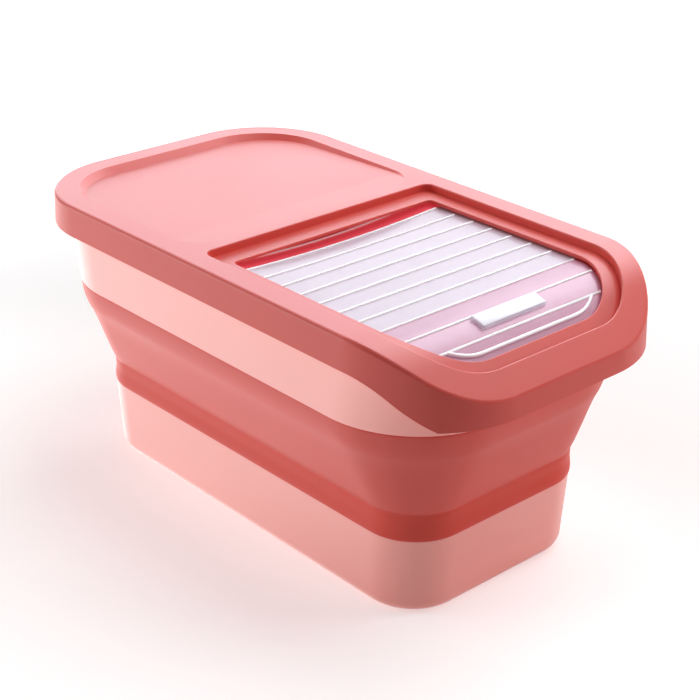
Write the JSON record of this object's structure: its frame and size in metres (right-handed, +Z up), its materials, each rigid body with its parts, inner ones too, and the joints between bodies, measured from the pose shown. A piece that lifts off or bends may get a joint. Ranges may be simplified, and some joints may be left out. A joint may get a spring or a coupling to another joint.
{
  "type": "collapsible pet food container",
  "caption": "Folding bin for dry pet food: rigid tub and rim joined by a soft folding wall, press-on lid with a sliding ribbed window shutter.",
  "frame": {"origin": "centre of the footprint, on the floor", "axes": "+Z up, +Y towards the rear of the lid, -Y towards the sloping window end, +X across"},
  "size_m": [0.2416, 0.4273, 0.2075],
  "materials": {
    "pale_body": "satin moulded polypropylene, slightly translucent",
    "soft_wall": "soft matt thermoplastic elastomer",
    "lid_plastic": "satin moulded polypropylene",
    "seal_rubber": "soft silicone",
    "rail_plastic": "satin moulded polypropylene",
    "shutter_film": "frosted translucent polypropylene film with glossy ribs",
    "grip_plastic": "frosted white plastic"
  },
  "bodies": {
    "base": {"base_tub": "pale_body", "collapsible_wall": "soft_wall"},
    "rim": {"rim_frame": "pale_body"},
    "lid": {"lid_cover": "lid_plastic", "lid_seal": "seal_rubber", "guide_rail_left": "rail_plastic", "guide_rail_right": "rail_plastic"},
    "shutter": {"shutter_curtain": "shutter_film"},
    "slat_1": {"shutter_slat_1": "shutter_film"},
    "slat_2": {"shutter_slat_2": "shutter_film", "shutter_grip": "grip_plastic"},
    "slat_3": {"shutter_slat_3": "shutter_film"}
  },
  "joints": [
    {"name": "collapse", "type": "slide", "parent": "base", "child": "rim", "axis": [0, 0, 1], "range_m": [-0.08, 0], "deforming": ["collapsible_wall"]},
    {"name": "lid_lift", "type": "slide", "parent": "rim", "child": "lid", "axis": [0, 0, 1], "range_m": [0, 0.12]},
    {"name": "shutter_slide", "type": "slide", "parent": "lid", "child": "shutter", "axis": [0, 1, 0], "range_m": [0, 0.148]},
    {"name": "slat_1_fold", "type": "hinge", "parent": "shutter", "child": "slat_1", "pos_m": [0, -0.1346, 0.1976], "axis": [-1, 0, 0], "range_deg": [0, 3.39]},
    {"name": "slat_2_fold", "type": "hinge", "parent": "slat_1", "child": "slat_2", "pos_m": [0, -0.15274, 0.19653], "axis": [-1, 0, 0], "range_deg": [0, 15.05]},
    {"name": "slat_3_fold", "type": "hinge", "parent": "slat_2", "child": "slat_3", "pos_m": [0, -0.16995, 0.19081], "axis": [-1, 0, 0], "range_deg": [0, 15.36]}
  ],
  "couplings": [
    {"joint": "slat_1_fold", "follows": "shutter_slide", "rad_per_m": 0.39694},
    {"joint": "slat_2_fold", "follows": "shutter_slide", "rad_per_m": 1.7722},
    {"joint": "slat_3_fold", "follows": "shutter_slide", "rad_per_m": 1.8085}
  ]
}
